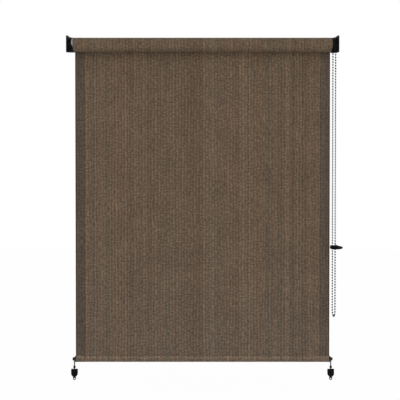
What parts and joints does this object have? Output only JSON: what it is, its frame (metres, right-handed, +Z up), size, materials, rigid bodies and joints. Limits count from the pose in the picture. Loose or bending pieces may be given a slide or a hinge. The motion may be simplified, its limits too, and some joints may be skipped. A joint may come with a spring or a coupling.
{
  "type": "outdoor roller shade",
  "caption": "Knitted outdoor sun shade on a chain-driven roller between wall brackets, with a weighted hem bar, elastic tie-downs and a wall-fixed chain guide.",
  "frame": {"origin": "centre of the four wall screw holes, on the wall plane, level with the roller axis and midway along the roller", "axes": "+X along the roller towards the chain, +Y into the wall, +Z up"},
  "size_m": [1.226, 0.093, 1.5334],
  "materials": {
    "knit_cloth": "knitted, matt",
    "black_moulding": "fine grain",
    "grey_moulding": "smooth",
    "black_beads": "polished",
    "black_elastic": "braided",
    "aluminium_tube": "mill",
    "black_wire": "satin",
    "steel": "zinc plated"
  },
  "bodies": {
    "mounting": {"left_bracket": "black_moulding", "right_bracket": "black_moulding", "chain_guard": "black_moulding", "clutch_core": "grey_moulding", "clutch_screw": "steel", "bead_chain": "black_beads", "chain_guide": "black_moulding", "shade_cloth": "knit_cloth"},
    "roller": {"roller_tube": "aluminium_tube", "fabric_roll": "knit_cloth", "idler_plug": "black_moulding", "drive_plug": "black_moulding", "chain_sprocket": "black_moulding", "brake_spring": "steel", "idler_spring": "steel"},
    "idler_nose": {"idler_pin": "black_moulding"},
    "hem": {"hem_pocket": "knit_cloth", "hem_bar": "aluminium_tube", "left_end_cap": "black_moulding", "right_end_cap": "black_moulding"},
    "left_tie_down": {"left_elastic_cord": "black_elastic", "left_cord_stop": "black_beads", "left_clip": "black_moulding"},
    "right_tie_down": {"right_elastic_cord": "black_elastic", "right_cord_stop": "black_beads", "right_clip": "black_moulding"},
    "left_hook_loop": {"left_bail": "black_wire"},
    "right_hook_loop": {"right_bail": "black_wire"}
  },
  "joints": [
    {"name": "roller_spin", "type": "hinge", "parent": "mounting", "child": "roller", "pos_m": [0, -0.055, 0], "axis": [1, 0, 0], "range_deg": [0, 2310], "deforming": ["shade_cloth", "bead_chain"]},
    {"name": "hem_lift", "type": "slide", "parent": "mounting", "child": "hem", "axis": [0, 0, 1], "range_m": [0, 1.3205]},
    {"name": "idler_press", "type": "slide", "parent": "roller", "child": "idler_nose", "axis": [1, 0, 0], "range_m": [0, 0.01], "stiffness_N_per_m": 600, "springref_m": -0.012, "deforming": ["idler_spring"]},
    {"name": "left_tie_swing", "type": "hinge", "parent": "hem", "child": "left_tie_down", "pos_m": [-0.5755, -0.0191, -1.398], "axis": [1, 0, 0], "range_deg": [-90, 90]},
    {"name": "right_tie_swing", "type": "hinge", "parent": "hem", "child": "right_tie_down", "pos_m": [0.5755, -0.0191, -1.398], "axis": [1, 0, 0], "range_deg": [-90, 90]},
    {"name": "left_bail_swing", "type": "hinge", "parent": "left_tie_down", "child": "left_hook_loop", "pos_m": [-0.5755, -0.0191, -1.4795], "axis": [1, 0, 0], "range_deg": [-90, 90]},
    {"name": "right_bail_swing", "type": "hinge", "parent": "right_tie_down", "child": "right_hook_loop", "pos_m": [0.5755, -0.0191, -1.4795], "axis": [1, 0, 0], "range_deg": [-90, 90]}
  ],
  "couplings": [
    {"joint": "hem_lift", "follows": "roller_spin", "m_per_rad": 0.03274}
  ]
}
